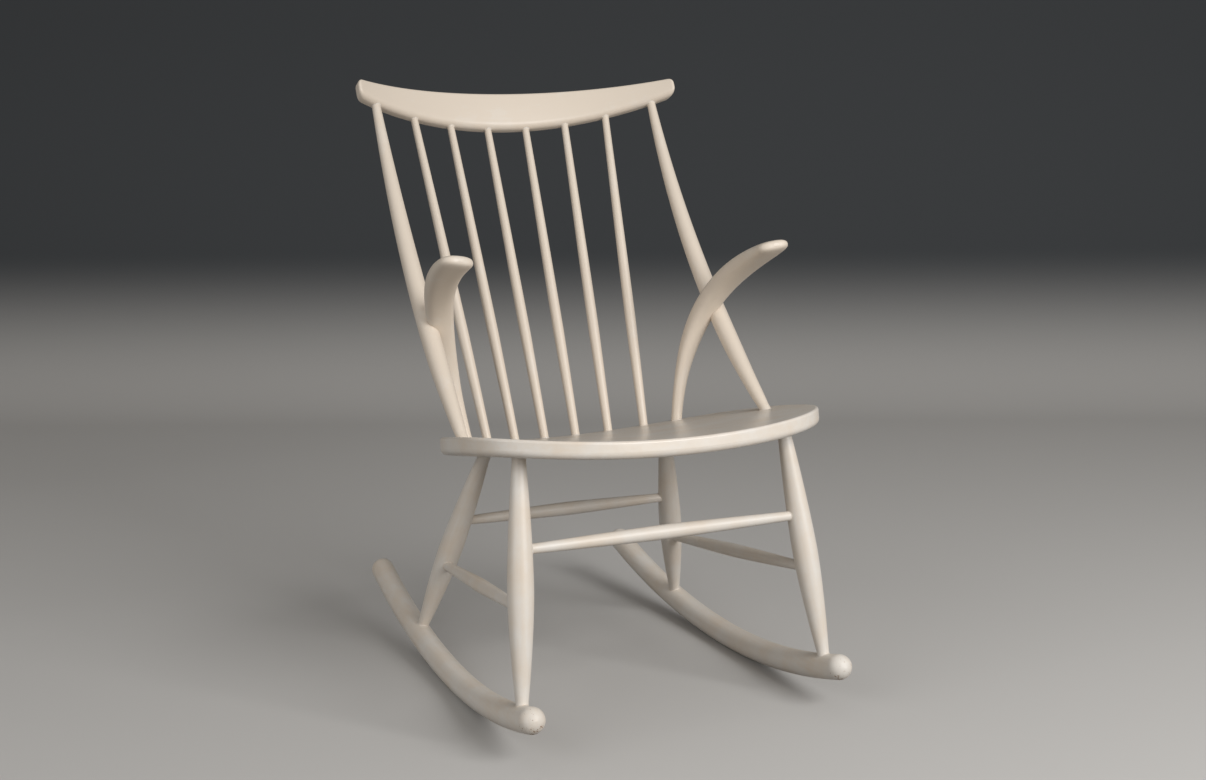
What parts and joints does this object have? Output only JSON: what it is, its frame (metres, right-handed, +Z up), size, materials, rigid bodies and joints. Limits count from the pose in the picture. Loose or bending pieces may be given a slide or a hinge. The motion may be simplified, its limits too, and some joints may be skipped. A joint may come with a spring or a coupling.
{
  "type": "rocking chair",
  "caption": "Painted wooden rocking chair with a spindle back, bowed back posts, horn-shaped arms, a solid hollowed seat and bent round rockers.",
  "frame": {"origin": "on the floor, in the middle of the chair's overall width and depth", "axes": "+Z up; +X towards the sitter's left; -Y towards the front of the chair"},
  "size_m": [0.5862, 0.7898, 0.9572],
  "materials": {
    "painted_wood": "off-white satin paint over turned and bent hardwood, brushed by hand",
    "bare_wood": "unpainted beech, hidden inside the joints"
  },
  "bodies": {
    "root": {"seat": "painted_wood", "crest_rail": "painted_wood", "spindle_1": "painted_wood", "spindle_2": "painted_wood", "spindle_3": "painted_wood", "spindle_4": "painted_wood", "spindle_5": "painted_wood", "spindle_6": "painted_wood", "back_post_left": "painted_wood", "back_post_right": "painted_wood", "arm_left": "painted_wood", "arm_right": "painted_wood", "front_leg_left": "painted_wood", "front_leg_right": "painted_wood", "rear_leg_left": "painted_wood", "rear_leg_right": "painted_wood", "front_stretcher": "painted_wood", "rear_stretcher": "painted_wood", "side_stretcher_left": "painted_wood", "side_stretcher_right": "painted_wood", "rocker_left": "painted_wood", "rocker_right": "painted_wood", "arm_dowel_left": "bare_wood", "arm_dowel_right": "bare_wood"}
  },
  "joints": []
}
